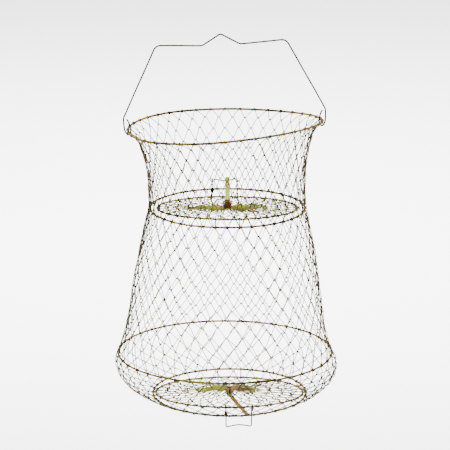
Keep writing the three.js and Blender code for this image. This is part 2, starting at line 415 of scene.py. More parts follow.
# ---- finishes --------------------------------------------------------------------------------
PLATING_METAL, PLATING_SPECULAR = 0.3, 0.06
# Specular tint: olive of the plating, darkened as a painted dark reflection so the white world's reflection
# stays dim
PLATING_TINT_AND_SHADE = (0.3, 0.24, 0.12, 1)


def plating(name, base, patches, roughness, grain=900.0, patch=38.0):
    """Bright passivated zinc: a base tone broken by (colour, low, high) patches of noise."""
    if name in bpy.data.materials:
        return bpy.data.materials[name]
    material = bpy.data.materials.new(name)
    material.use_nodes = True
    tree = Tree(material.node_tree)
    shader = material.node_tree.nodes["Principled BSDF"]
    place = tree.node("ShaderNodeTexCoord").outputs["Object"]
    colour = (*base, 1)
    for k, (tone, low, high) in enumerate(patches):
        moved = tree.node("ShaderNodeMapping", {"Vector": place, "Location": (k * 3.7, k * 1.9, k * 5.3)})
        scale = patch * (1 + 0.45 * k)
        cloud = tree.node("ShaderNodeTexNoise", {"Vector": moved.outputs[0], "Scale": scale})
        cloud.inputs["Detail"].default_value = 4.0
        share = tree.node(
            "ShaderNodeMapRange", {"Value": cloud.outputs["Fac"], "From Min": low, "From Max": high}
        )
        mix = tree.node("ShaderNodeMix", data_type="RGBA")
        tree.feed(mix.inputs["Factor"], share.outputs[0])
        tree.feed(mix.inputs["A"], colour)
        tree.feed(mix.inputs["B"], (*tone, 1))
        colour = mix.outputs["Result"]
    fine = tree.node("ShaderNodeTexNoise", {"Vector": place, "Scale": grain})
    fine.inputs["Detail"].default_value = 3.0
    rough = tree.node(
        "ShaderNodeMapRange", {"Value": fine.outputs["Fac"], "From Min": 0.3, "From Max": 0.7}
    )
    rough.inputs["To Min"].default_value = roughness - 0.08
    rough.inputs["To Max"].default_value = roughness + 0.14
    bump = tree.node("ShaderNodeBump", {"Height": fine.outputs["Fac"]})
    bump.inputs["Strength"].default_value = 0.12
    bump.inputs["Distance"].default_value = 0.0002
    tree.feed(shader.inputs["Base Color"], colour)
    tree.feed(shader.inputs["Roughness"], rough.outputs[0])
    tree.feed(shader.inputs["Normal"], bump.outputs[0])
    shader.inputs["Metallic"].default_value = PLATING_METAL
    shader.inputs["Specular IOR Level"].default_value = PLATING_SPECULAR
    # painted dark reflection: the dark tint dims what the wire reflects of the white world
    shader.inputs["Specular Tint"].default_value = PLATING_TINT_AND_SHADE
    return material


def hoop_finish():
    tone = settings()[2]
    patches = [(tone.olive, 0.42, 0.6), (tone.brown, 0.52, 0.66), (tone.blue, 0.6, 0.7)]
    return plating("hoop_plating", tone.gold, patches, 0.4, patch=20.0)


# The bail's base tone is partly olive plating and partly painted shade, darkened in place of dark
# reflections of the surroundings
def bail_finish():
    tone = settings()[2]
    patches = [(tone.olive, 0.45, 0.68), (tone.brown, 0.62, 0.78)]
    return plating("bail_plating", tone.olive_and_shade, patches, 0.45, patch=16.0)


def net_finish():
    tone = settings()[2]
    patches = [(tone.olive, 0.42, 0.58), (tone.rose, 0.56, 0.68), (tone.blue, 0.58, 0.7)]
    return plating("net_plating", tone.net, patches, 0.36, patch=20.0)


def lid_net_finish():
    tone = settings()[2]
    patches = [(tone.net, 0.42, 0.58), (tone.rose, 0.56, 0.68), (tone.gold, 0.52, 0.66)]
    return plating("lid_net_plating", tone.strip, patches, 0.36, patch=24.0)


def strip_finish(word):
    tone = settings()[2]
    if word == "neck":
        return plating("neck_strip_plating", tone.strip, [(tone.gold, 0.5, 0.66)], 0.28, patch=45.0)
    patches = [(tone.gold, 0.5, 0.66), (tone.strip, 0.58, 0.74)]
    return plating("bottom_strip_plating", tone.copper, patches, 0.28, patch=60.0)


def fitting_finish():
    tone = settings()[2]
    patches = [(tone.copper, 0.45, 0.65), (tone.olive, 0.55, 0.7)]
    return plating("fitting_plating", tone.brown, patches, 0.35, patch=90.0)


# ---- netting ---------------------------------------------------------------------------------
NET_INPUTS = [
    ("Cells", "Int"),
    ("Courses", "Int"),
    ("Wire", "Float"),
    ("Hook", "Float"),
    ("Loop", "Float"),
    ("Gather", "Float"),
    ("Depth", "Float"),
    ("Slack", "Float"),
    ("Sway", "Float"),
    ("Seed", "Int"),
    ("Material", "Material"),
]
POINTS_PER_BAR = 8


def netting_tree():
    """Courses of zigzag wire hooked into each other, following a guide that runs down the wall.

    The guide's X is the wall's radius and its Z the height. Course c zigzags between rows c
    and c + 1; its bars pass in front going one way and behind going the other, so the loops
    of two neighbouring courses lock together at each knot.
    """
    group, tree, given = new_geometry_tree("Netting", NET_INPUTS)
    math_ = tree.math
    bars = math_("MULTIPLY", given["Cells"], 2)
    per_course = math_("MULTIPLY", bars, POINTS_PER_BAR)
    count = math_("MULTIPLY", per_course, given["Courses"])
    points = tree.node("GeometryNodePoints", {"Count": count}).outputs[0]
    index = tree.node("GeometryNodeInputIndex").outputs[0]
    course = math_("FLOOR", math_("DIVIDE", math_("ADD", index, 0.5), per_course))
    step = math_("SUBTRACT", index, math_("MULTIPLY", course, per_course))
    bar = math_("FLOOR", math_("DIVIDE", math_("ADD", step, 0.5), POINTS_PER_BAR))
    even_share = math_("SUBTRACT", math_("DIVIDE", step, POINTS_PER_BAR), bar)
    along = tree.curve(even_share, [(0, 0), (0.25, 0), (0.75, 1), (1, 1)])
    beside = tree.curve(even_share, [(0, 0), (0.125, 1), (1, 1)])
    hooked = tree.curve(
        even_share, [(0, -1), (0.125, -0.15), (0.25, 0.9), (0.75, -0.9), (0.875, 0.15), (1, 1)]
    )
    bowed = tree.curve(
        even_share, [(0, 0), (0.125, 0.8), (0.25, 1), (0.5, 0.5), (0.75, 1), (0.875, 0.8), (1, 0)]
    )
    odd = math_("FLOORED_MODULO", bar, 2)
    flipped = math_("SUBTRACT", 1, along)
    down = math_("ADD", math_("MULTIPLY", odd, flipped),
                 math_("MULTIPLY", math_("SUBTRACT", 1, odd), along))

    def stray(row, place, label):
        """Random pair shared by the two courses that meet at one knot."""
        spot = math_("FLOORED_MODULO", math_("ADD", place, course), bars)
        identity = math_("ADD", math_("MULTIPLY", row, bars), spot)
        pick = tree.node("FunctionNodeRandomValue", data_type="FLOAT_VECTOR", label=label)
        tree.feed(pick.inputs["Min"], (-1, -1, -1))
        tree.feed(pick.inputs["Max"], (1, 1, 1))
        tree.feed(pick.inputs["ID"], identity)
        tree.feed(pick.inputs["Seed"], given["Seed"])
        return pick.outputs["Value"]

    upper = stray(course, math_("ADD", bar, odd), "upper knot")
    lower = stray(math_("ADD", course, 1), math_("SUBTRACT", math_("ADD", bar, 1), odd), "lower knot")
    between = tree.node("ShaderNodeMix", data_type="VECTOR")
    tree.feed(between.inputs["Factor"], down)
    tree.feed(between.inputs["A"], upper)
    tree.feed(between.inputs["B"], lower)
    stray_parts = tree.node("ShaderNodeSeparateXYZ", {0: between.outputs["Result"]}).outputs

    length = tree.node("GeometryNodeCurveLength", {0: given["Geometry"]}).outputs[0]
    downward = math_("SUBTRACT", 1, math_("MULTIPLY", odd, 2))
    shift = math_("ADD", math_("MULTIPLY", math_("MULTIPLY", hooked, downward), given["Hook"]),
                  math_("MULTIPLY", stray_parts[1], given["Slack"]))
    even_row = math_("DIVIDE", math_("ADD", course, down), given["Courses"])
    late_row = math_("MULTIPLY", given["Gather"], math_("SUBTRACT", math_("POWER", even_row, 5), even_row))
    share = math_("ADD", math_("ADD", even_row, late_row), math_("DIVIDE", shift, length))
    sample = tree.node("GeometryNodeSampleCurve", mode="FACTOR", data_type="FLOAT")
    tree.feed(sample.inputs["Curves"], given["Geometry"])
    tree.feed(sample.inputs["Factor"], share)
    wall = tree.node("ShaderNodeSeparateXYZ", {0: sample.outputs["Position"]}).outputs
    slope = tree.node("ShaderNodeSeparateXYZ", {0: sample.outputs["Tangent"]}).outputs

    turn = math_("ADD", math_("ADD", bar, along), course)
    centred = math_("SUBTRACT", beside, math_("MULTIPLY", along, 2))
    pitch = math_("DIVIDE", math_("MULTIPLY", wall[0], TURN), bars)
    loop = math_("MINIMUM", given["Loop"], math_("MULTIPLY", pitch, 0.4))
    sideways = math_("ADD", math_("MULTIPLY", centred, loop),
                     math_("MULTIPLY", stray_parts[0], given["Slack"]))
    angle = math_("ADD", math_("DIVIDE", math_("MULTIPLY", turn, TURN), bars),
                  math_("DIVIDE", sideways, wall[0]))
    cosine, sine = math_("COSINE", angle), math_("SINE", angle)
    clamped = math_("MULTIPLY", bowed, downward)
    cloud = tree.node("ShaderNodeTexNoise", {"Scale": 22.0, "Detail": 1.0})
    tree.feed(cloud.inputs["Vector"], tree.xyz(math_("MULTIPLY", wall[0], cosine),
                                               math_("MULTIPLY", wall[0], sine), wall[2]))
    wander = math_("MULTIPLY", math_("SUBTRACT", cloud.outputs["Fac"], 0.5), given["Sway"])
    fade = math_("SINE", math_("MULTIPLY", math_("MAXIMUM", math_("MINIMUM", share, 1), 0), math.pi))
    proud = math_("ADD", math_("MULTIPLY", clamped, given["Depth"]),
                  math_("MULTIPLY", math_("MULTIPLY", wander, fade), 2))
    radius = math_("SUBTRACT", wall[0], math_("MULTIPLY", proud, slope[2]))
    height = math_("ADD", wall[2], math_("MULTIPLY", proud, slope[0]))
    place = tree.xyz(math_("MULTIPLY", radius, cosine), math_("MULTIPLY", radius, sine), height)
    moved = tree.node("GeometryNodeSetPosition", {"Geometry": points, "Position": place})
    curves = tree.node(
        "GeometryNodePointsToCurves", {"Points": moved.outputs[0], "Curve Group ID": course}
    )
    closed = tree.node("GeometryNodeSetSplineCyclic", {"Geometry": curves.outputs[0], "Cyclic": True})
    section = round_section(tree, given["Wire"], 6)
    end_geometry_tree(tree, closed.outputs[0], section, given["Material"])
    return group


def netting(name, stations, cells, courses, material, gather=0.0):
    """Netting round +Z that follows (radius, height) stations; gather lengthens the last course."""
    group = bpy.data.node_groups.get("Netting") or netting_tree()
    net = settings()[0]
    guide = guide_curve(name + "_guide", [(radius, 0, height) for radius, height in smooth_line(stations)])
    values = {
        "Cells": cells,
        "Courses": courses,
        "Wire": net.wire,
        "Hook": net.hook,
        "Loop": net.loop,
        "Gather": gather,
        "Depth": net.depth,
        "Slack": net.slack,
        "Sway": net.sway,
        "Seed": net.seed,
        "Material": material,
    }
    return grown(name, guide, group, values)


def smooth_line(stations, parts=8):
    """A Catmull-Rom line through the stations."""
    points = [Vector(station) for station in stations]
    ends = [points[0] * 2 - points[1], *points, points[-1] * 2 - points[-2]]
    out = [points[0]]
    for a, b, c, d in zip(ends, ends[1:], ends[2:], ends[3:]):
        for k in range(1, parts + 1):
            t = k / parts
            out.append(0.5 * (2 * b + (c - a) * t + (2 * a - 5 * b + 4 * c - d) * t * t
                              + (3 * b - a - 3 * c + d) * t ** 3))
    return out


# Wall radii in millimetres against the share of the way from the upper hoop to the lower one.
NECK_WALL = [
    (0, 146.5), (0.04, 139.5), (0.09, 134.3), (0.16, 130), (0.38, 122.9), (0.6, 119.4), (0.85, 118.2),
    (1, 119),
]
BODY_WALL = [
    (0, 119), (0.05, 121.5), (0.14, 126), (0.35, 135.5), (0.62, 144.5), (0.8, 150.5), (0.9, 156),
    (1, 163.5),
]
BASE_WALL = [
    (0, 163.5), (0.08, 167), (0.25, 169), (0.42, 166.5), (0.6, 159), (0.76, 147), (0.9, 133), (1, 118),
]


def wall_stations(wall, upper, lower):
    return [(radius * MM, upper.z + (lower.z - upper.z) * share) for share, radius in wall]


def twist(mesh, reach):
    """Bends a hoop out of its plane the way a handled hoop springs, by reach at the diagonals."""
    for vertex in mesh.vertices:
        x, y = vertex.co.x, vertex.co.y
        vertex.co.z -= reach * 2 * x * y / TOP_RADIUS ** 2


def lean_wall(mesh, upper, lower, slope=(0.0, 0.0), reach=0.0):
    """Centres each end of a wall on its own hoop and tips its upper end into that hoop's plane."""
    places = np.empty(len(mesh.vertices) * 3)
    mesh.vertices.foreach_get("co", places)
    places = places.reshape(-1, 3)
    share = (upper.z - places[:, 2]) / (upper.z - lower.z)
    rise = (places[:, 0] * slope[0] + places[:, 1] * slope[1]) * (1 - share)
    rise -= reach * 2 * places[:, 0] * places[:, 1] / TOP_RADIUS ** 2 * (1 - share) ** 2
    places[:, 0] += upper.x + (lower.x - upper.x) * share
    places[:, 2] += rise
    mesh.vertices.foreach_set("co", places.ravel())
    mesh.update()


def top_slope():
    """Slopes of the top hoop's plane along X and Y, from its node's box."""
    low, high = (Vector(corner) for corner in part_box("top_ring"))
    rise = ((high.z - low.z) / 2 - settings()[1].top) / TOP_RADIUS
    pitch = math.asin(math.sqrt(max(0, rise ** 2 - math.sin(BAIL_ROLL) ** 2)))
    return math.tan(BAIL_ROLL), -math.tan(pitch)


class TRAP_OT_netting(bpy.types.Operator):
    """Knit the three netting walls between the hoops"""

    bl_idname = "trap.netting"
    bl_label = "Netting"

    def execute(self, context):
        net = settings()[0]
        walls = [
            ("neck", NECK_WALL, TOP_CENTRE, NECK_CENTRE, net.neck_courses, "top", "neck"),
            ("body", BODY_WALL, NECK_CENTRE, BELLY_CENTRE, net.body_courses, "neck", "belly"),
            ("base", BASE_WALL, BELLY_CENTRE, BOTTOM_CENTRE, net.base_courses, "belly", "bottom"),
        ]
        for word, wall, upper, lower, courses, above, below in walls:
            stations = wall_stations(wall, upper, lower)
            piece = netting(f"{word}_netting", stations, net.cells, courses, net_finish())
            slope, reach = (top_slope(), TOP_TWIST) if word == "neck" else ((0.0, 0.0), 0.0)
            lean_wall(piece.data, upper, lower, slope, reach)
            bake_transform(piece)
            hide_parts(f"{word}_net")
        return {"FINISHED"}


# ---- hoops -----------------------------------------------------------------------------------
WRAP_INPUTS = [
    ("Count", "Int"),
    ("Hoop", "Float"),
    ("Coil", "Float"),
    ("Length", "Float"),
    ("Wire", "Float"),
    ("Material", "Material"),
]
WRAP_TURNS, WRAP_LENGTH = 1.2, 0.0022


def wraps_tree():
    """Short coils of netting wire wound round a hoop at even steps."""
    group, tree, given = new_geometry_tree("Wraps", WRAP_INPUTS)
    circle = tree.node("GeometryNodeCurvePrimitiveCircle", {"Resolution": 128, "Radius": given["Hoop"]})
    spots = tree.node(
        "GeometryNodeCurveToPoints", {"Curve": circle.outputs[0], "Count": given["Count"]}, mode="COUNT"
    )
    coil = tree.node("GeometryNodeCurveSpiral", {"Resolution": 10, "Rotations": WRAP_TURNS})
    for label, source in (("Start Radius", "Coil"), ("End Radius", "Coil"), ("Height", "Length")):
        tree.feed(coil.inputs[label], given[source])
    half = tree.math("MULTIPLY", given["Length"], -0.5)
    centred = tree.node(
        "GeometryNodeTransform", {"Geometry": coil.outputs[0], "Translation": tree.xyz(0, 0, half)}
    )
    turn = tree.node("FunctionNodeAlignRotationToVector", {"Vector": spots.outputs["Tangent"]}, axis="Z")
    placed = tree.node(
        "GeometryNodeInstanceOnPoints", {"Points": spots.outputs["Points"], "Instance": centred.outputs[0]}
    )
    tree.feed(placed.inputs["Rotation"], turn.outputs[0])
    real = tree.node("GeometryNodeRealizeInstances", {"Geometry": placed.outputs[0]})
    end_geometry_tree(tree, real.outputs[0], round_section(tree, given["Wire"], 6), given["Material"])
    return group


def wraps(name, radius, wire, count, place, body, reach=0.0):
    """The netting's coils round one hoop, riding on that hoop's body."""
    group = bpy.data.node_groups.get("Wraps") or wraps_tree()
    net = settings()[0]
    values = {
        "Count": count,
        "Hoop": radius,
        "Coil": wire + net.wire,
        "Length": WRAP_LENGTH,
        "Wire": net.wire,
        "Material": hoop_finish(),
    }
    guide = guide_curve(name + "_guide", [(0, 0, 0), (radius, 0, 0)])
    piece = grown(name, guide, group, values)
    twist(piece.data, reach)
    piece.data.transform(place)
    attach(piece, body)
    return piece


def hoop_mesh(radius, wire, seed, segments=220):
    """A bent hoop, very slightly out of round, with its butt weld."""
    points = []
    for k in range(segments):
        angle = TURN * k / segments
        points.append(Vector((radius * math.cos(angle), radius * math.sin(angle), 0)))
    mesh = wire_mesh([(strayed(points, 0.0005, 14.0, seed), wire, True)], sides=14)
    at = TURN * (0.1 + 0.17 * seed)
    weld = [
        (wire * share, (k - 3) * wire * 0.35)
        for k, share in enumerate((1.0, 1.12, 1.24, 1.28, 1.24, 1.12, 1.0))
    ]
    bead = turned_mesh([(0, weld[0][1]), *weld, (0, weld[-1][1])], 14)
    centre = Vector((radius * math.cos(at), radius * math.sin(at), 0))
    bead.transform(
        Matrix.Translation(centre) @ Matrix.Rotation(at, 4, "Z") @ Matrix.Rotation(math.pi / 2, 4, "X")
    )
    return joined_mesh([mesh, bead])


def top_place():
    slope = top_slope()
    pitch = math.atan(slope[1])
    return (Matrix.Translation(TOP_CENTRE) @ Matrix.Rotation(-BAIL_ROLL, 4, "Y")
            @ Matrix.Rotation(pitch, 4, "X"))


class TRAP_OT_hoops(bpy.types.Operator):
    """Bend the four body hoops and wind the netting's edges round them"""

    bl_idname = "trap.hoops"
    bl_label = "Hoops"

    def execute(self, context):
        net, wire = settings()[:2]
        hoops = [("top", TOP_RADIUS, wire.top, top_place())]
        for word, outside, centre in (
            ("neck", NECK_OUTSIDE, NECK_CENTRE),
            ("belly", BELLY_OUTSIDE, BELLY_CENTRE),
            ("bottom", BOTTOM_OUTSIDE, BOTTOM_CENTRE),
        ):
            hoops.append((word, outside - wire.hoop, wire.hoop, Matrix.Translation(centre)))
        for seed, (word, radius, thick, place) in enumerate(hoops):
            name, body = f"{word}_hoop", f"{word}_frame"
            mesh = hoop_mesh(radius, thick, seed)
            reach = TOP_TWIST if word == "top" else 0.0
            twist(mesh, reach)
            finished(name, mesh, hoop_finish(), body, "hoop_wire", f"{word}_ring", place=place)
            wraps(name + "_wraps", radius, thick, net.cells, place, body, reach)
        return {"FINISHED"}


# ---- bail ------------------------------------------------------------------------------------
BAIL_SIDE = [
    (147.2, 16.5, 0), (143.6, 9, 4), (141.3, -2.5, 4), (146.1, -9.4, 5), (151.3, -1.8, 4),
    (152.2, 10.2, 3), (152.2, 18, 4), (97.8, 127.1, 8), (28.5, 123.5, 4), (1.5, 139.5, 3),
]


class TRAP_OT_bail(bpy.types.Operator):
    """Bend the bail with its peak and its two eyes round the top hoop"""

    bl_idname = "trap.bail"
    bl_label = "Bail"

    def execute(self, context):
        left = [((-x * MM, 0, z * MM), bend * MM) for x, z, bend in BAIL_SIDE]
        right = [((x * MM, 0, z * MM), bend * MM) for x, z, bend in reversed(BAIL_SIDE)]
        path = strayed(spaced(bent(left + right), 0.004), 0.0003, 18.0, 5)
        mesh = wire_mesh([(path, settings()[1].bail, False)], sides=14)
        place = Matrix.Translation(TOP_CENTRE) @ Matrix.Rotation(-BAIL_ROLL, 4, "Y")
        finished("bail_wire", mesh, bail_finish(), "bail", "bail_wire", "bail", place=place)
        return {"FINISHED"}


# ---- lids ------------------------------------------------------------------------------------
LIDS = {
    "neck": {
        "sink": 0.0, "handle": -0.0045, "lean": -9.0, "turn": 0.0, "tip_reach": 0.1098,
        "tip_rise": 0.0295, "height": 0.028, "outer": NECK_OUTSIDE, "centre": NECK_CENTRE, "flip": 0.0,
    },
    "bottom": {
        "sink": 0.006, "handle": 0.0145, "lean": 6.0, "turn": 15.0, "tip_reach": 0.1085,
        "tip_rise": 0.0143, "height": 0.031, "outer": BOTTOM_OUTSIDE, "centre": BOTTOM_CENTRE,
        "flip": math.pi,
    },
}
HUB_FLANGE, HUB_BOSS, HUB_BORE, HUB_TOP, HUB_THICK = 0.0135, 0.0046, 0.0023, 0.0094, 0.002
STRIP_LOW, STRIP_WIDTH, STRIP_THICK, STRIP_TAIL = 0.0104, 0.007, 0.001, 0.007
HANDLE_BASE, HANDLE_END, HANDLE_NOTCH, HANDLE_EYE = 0.020, 0.0193, 0.0035, 0.0037
LINK_OFFSET = 0.018
LID_GATHER = 0.25


def lid_tilt(word):
    """How far the lid leans in its hoop, from the axis that its latch turns on."""
    axis = JOINTS[f"{word}_latch_turn"]["axis"]
    return math.atan2(abs(axis[1]), abs(axis[2]))


def lid_place(word):
    """From the lid's own frame, +Z out of the trap and +Y towards its handle, to the trap's frame."""
    lid = LIDS[word]
    return (Matrix.Translation(lid["centre"]) @ Matrix.Rotation(lid["flip"], 4, "X")
            @ Matrix.Rotation(-lid_tilt(word), 4, "X"))


def lid_radius(word):
    return hoop_place(f"{word}_lid_ring")[1] - settings()[1].lid


class LidOperator:
    """What the lid operators share: which of the two lids they make."""

    word: StringProperty(name="Lid", description="neck or bottom", default="neck")


class TRAP_OT_lid(LidOperator, bpy.types.Operator):
    """Make one lid: its hoop, gathered netting and hub"""

    bl_idname = "trap.lid"
    bl_label = "Lid"

    def execute(self, context):
        net, wire = settings()[:2]
        word, lid = self.word, LIDS[self.word]
        place, radius, body = lid_place(word), lid_radius(word), f"{word}_lid"
        hoop = hoop_mesh(radius, wire.lid, 4 + (word == "bottom"))
        node = f"{word}_lid_ring"
        finished(f"{word}_lid_hoop", hoop, hoop_finish(), body, "hoop_wire", node, place=place)
        wraps(f"{word}_lid_wraps", radius, wire.lid, net.lid_cells, place, body)

        sink = lid["sink"]
        inner = HUB_FLANGE - 0.003
        stations = [
            (radius - 0.001, 0), (radius * 0.8, -sink * 0.12), (radius * 0.5, -sink * 0.45), (inner, -sink),
        ]
        cover = netting(
            f"{word}_lid_netting", stations, net.lid_cells, net.lid_courses, lid_net_finish(), LID_GATHER
        )
        cover.data.transform(place)
        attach(cover, body)
        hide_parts(f"{word}_lid_net")

        hub = self.hub_mesh(sink)
        finished(f"{word}_hub", hub, fitting_finish(), body, "fitting", f"{word}_lid_hub", place=place)
        return {"FINISHED"}

    def hub_mesh(self, sink):
        low = -sink - HUB_THICK / 2
        top = low + HUB_THICK
        peak = HUB_TOP - sink
        soft = 0.0004
        outline = [
            (HUB_BORE, low), (HUB_FLANGE - soft, low), (HUB_FLANGE, low + soft), (HUB_FLANGE, top - soft),
            (HUB_FLANGE - soft, top), (HUB_BOSS + soft * 2, top), (HUB_BOSS, top + soft * 2),
            (HUB_BOSS, peak - soft), (HUB_BOSS - soft, peak), (HUB_BORE, peak),
        ]
        return turned_mesh(outline, 72)


SPRING_INPUTS = [
    ("Turns", "Float"),
    ("Radius", "Float"),
    ("Rise", "Float"),
    ("Wire", "Float"),
    ("Material", "Material"),
]


def spring_tree():
    """A coil spring of round wire standing on +Z."""
    group, tree, given = new_geometry_tree("Spring", SPRING_INPUTS)
    coil = tree.node("GeometryNodeCurveSpiral", {"Resolution": 28, "Rotations": given["Turns"]})
    for label, source in (("Start Radius", "Radius"), ("End Radius", "Radius"), ("Height", "Rise")):
        tree.feed(coil.inputs[label], given[source])
    end_geometry_tree(tree, coil.outputs[0], round_section(tree, given["Wire"], 10), given["Material"])
    return group


class TRAP_OT_latch(LidOperator, bpy.types.Operator):
    """Make one lid's latch: spring, rivet and the strip that reaches to the outer hoop"""

    bl_idname = "trap.latch"
    bl_label = "Latch"

    def execute(self, context):
        wire = settings()[1]
        word, lid = self.word, LIDS[self.word]
        place, sink, body = lid_place(word), lid["sink"], f"{word}_lid"
        seat = STRIP_LOW - sink + STRIP_THICK / 2 + 0.0004
        low = -sink - HUB_THICK / 2 - 0.0005
        rivet = turned_mesh([
            (0, low - 0.0012), (0.0026, low - 0.0012), (0.0034, low - 0.0008), (0.0035, low),
            (0.0019, low), (0.0019, seat), (0.0043, seat), (0.0044, seat + 0.0003),
            (0.0038, seat + 0.0011), (0.0022, seat + 0.0017), (0, seat + 0.0018),
        ], 48)
        node = f"{word}_latch_rivet"
        finished(f"{word}_rivet", rivet, fitting_finish(), body, "fitting", node, place=place)

        foot = -sink + HUB_THICK / 2 + wire.spring + 0.0002
        head = STRIP_LOW - sink - STRIP_THICK / 2 - wire.spring - 0.0002
        group = bpy.data.node_groups.get("Spring") or spring_tree()
        values = {
            "Turns": 4.0, "Radius": 0.0064, "Rise": head - foot, "Wire": wire.spring,
            "Material": fitting_finish(),
        }
        guide = guide_curve(f"{word}_spring_guide", [(0, 0, 0), (0, 0, 0.01)])
        spring = grown(f"{word}_spring", guide, group, values, place @ Matrix.Translation((0, 0, foot)))
        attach(spring, body)
        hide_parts(f"{word}_latch_spring")

        strip = self.strip_mesh(lid)
        turned = place @ Matrix.Rotation(-math.radians(lid["turn"]), 4, "Z")
        node = f"{word}_latch_strip"
        finished(f"{word}_latch", strip, strip_finish(word), f"{word}_latch", "strip", node, place=turned)
        return {"FINISHED"}

    def strip_mesh(self, lid):
        """Spring strip with a rounded eye over the rivet, rising to a lifted tip."""
        reach, rise = lid["tip_reach"], lid["tip_rise"]
        low = STRIP_LOW - lid["sink"]
        climb = rise - low
        line = smooth_line([
            (-STRIP_TAIL, low), (0, low), (STRIP_TAIL, low), (reach * 0.2, low + climb * 0.17),
            (reach * 0.52, low + climb * 0.56), (reach - 0.004, low + climb * 0.955),
            (reach, rise + 0.0004),
        ], 10)
        half = STRIP_WIDTH / 2
        columns = [-1, -0.72, -0.36, 0, 0.36, 0.72, 1]
        built = bmesh.new()
        rows = []
        for y, z in line:
            width = half
            if y < 0:
                width = math.sqrt(max(0, 1 - (y / STRIP_TAIL) ** 2)) * half + 0.0002
            width *= 1 - 0.3 * max(0, (y - reach + 0.004) / 0.004) ** 2
            rows.append([built.verts.new((share * width, y, z)) for share in columns])
        for here, there in zip(rows, rows[1:]):
            for k in range(len(columns) - 1):
                built.faces.new((here[k], here[k + 1], there[k + 1], there[k]))
        hole = [face for face in built.faces if face.calc_center_median().xy.length < HUB_BORE]
        bmesh.ops.delete(built, geom=hole, context="FACES")
        mesh = bpy.data.meshes.new("strip")
        built.to_mesh(mesh)
        built.free()
        piece = linked("strip_blank", mesh)
        thick = piece.modifiers.new("Thickness", "SOLIDIFY")
        thick.thickness = STRIP_THICK
        thick.offset = 0
        soft = piece.modifiers.new("Edges", "BEVEL")
        soft.width = 0.00018
        soft.segments = 2
        soft.angle_limit = 0.7
        graph = bpy.context.evaluated_depsgraph_get()
        result = bpy.data.meshes.new_from_object(piece.evaluated_get(graph))
        bpy.data.objects.remove(piece)
        result.shade_smooth()
        return result


class TRAP_OT_lid_wires(LidOperator, bpy.types.Operator):
    """Bend one lid's handle and the two links that tie it to the outer hoop"""

    bl_idname = "trap.lid_wires"
    bl_label = "Lid Handle And Links"

    def execute(self, context):
        wire = settings()[1]
        word, lid = self.word, LIDS[self.word]
        radius = lid_radius(word)
        around = math.asin(lid["handle"] / radius)
        feet_at = math.sqrt(radius ** 2 - HANDLE_BASE ** 2)
        stand = (Matrix.Translation((feet_at * math.sin(around), feet_at * math.cos(around), 0))
                 @ Matrix.Rotation(-around, 4, "Z") @ Matrix.Rotation(math.radians(lid["lean"]), 4, "X"))
        height = lid["height"]
        paths = [(spaced(bent(self.handle_path(height)), 0.003), wire.handle, False)]
        paths.append((self.whipping(height), wire.link, False))
        handle = wire_mesh(paths, sides=12)
        finished(f"{word}_handle", handle, bail_finish(), f"{word}_handle", "bail_wire",
                 f"{word}_lid_handle", place=lid_place(word) @ stand)

        outer = lid["outer"] - wire.hoop
        outer_y = -math.sqrt(outer ** 2 - LINK_OFFSET ** 2)
        rim_y = -math.sqrt(radius ** 2 - LINK_OFFSET ** 2)
        rim = Matrix.Rotation(-lid_tilt(word), 3, "X") @ Vector((0, rim_y, 0))
        base = Matrix.Translation(lid["centre"]) @ Matrix.Rotation(lid["flip"], 4, "X")
        for side, name in ((-1, "left"), (1, "right")):
            path = self.link_path(rim.y - outer_y, rim.z, wire)
            mesh = wire_mesh([(path, wire.link, False)], sides=10)
            place = base @ Matrix.Translation((side * LINK_OFFSET, outer_y, 0))
            node = f"{word}_lid_link_{name}"
            piece = f"{word}_link_{name}"
            finished(piece, mesh, fitting_finish(), f"{word}_lid", "fitting", node, place=place)
        return {"FINISHED"}

    def whipping(self, height, turns=4, step=20, coil=0.0019):
        """Tail of thin wire wound round the foot of the left leg."""
        points = []
        for k in range(turns * step + 1):
            angle = TURN * k / step
            z = HANDLE_EYE * 1.9 + 0.0017 * k / step
            lean = z / height
            x = -(HANDLE_BASE - 0.0006) - (HANDLE_END - HANDLE_BASE + 0.0006) * lean
            y = -HANDLE_EYE * 0.4 * (1 - lean)
            points.append((x + coil * math.cos(angle), y + coil * math.sin(angle), z))
        return points

    def handle_path(self, height):
        eye = HANDLE_EYE

        def foot(side):
            return [
                ((side * (HANDLE_BASE + 0.0005), eye * 0.9, eye * 1.6), 0),
                ((side * (HANDLE_BASE + 0.0003), eye, 0), 0.0022),
                ((side * HANDLE_BASE, 0, -eye * 1.25), 0.0024),
                ((side * HANDLE_BASE, -eye, 0), 0.0022),
                ((side * (HANDLE_BASE - 0.0006), -eye * 0.45, eye * 1.8), 0.0022),
                ((side * HANDLE_END, 0, height), 0.003),
            ]

        middle = ((0, 0, height - HANDLE_NOTCH), 0.004)
        return [*foot(-1), middle, *reversed(foot(1))]

    def link_path(self, y, z, wire):
        length = math.hypot(y, z)
        inside = wire.hoop + wire.link + 0.0005
        points = [(0, length * 0.45, -inside)]
        for centre, first, last in ((0, -0.25, -0.75), (length, 0.25, -0.25)):
            for k in range(15):
                angle = TURN * (first + (last - first) * k / 14)
                points.append((0, centre + inside * math.cos(angle), inside * math.sin(angle)))
        points.append((0, length * 0.45 + 0.0005, -inside))
        turn = Matrix.Rotation(math.atan2(z, y), 3, "X")
        return [turn @ Vector(point) for point in points]


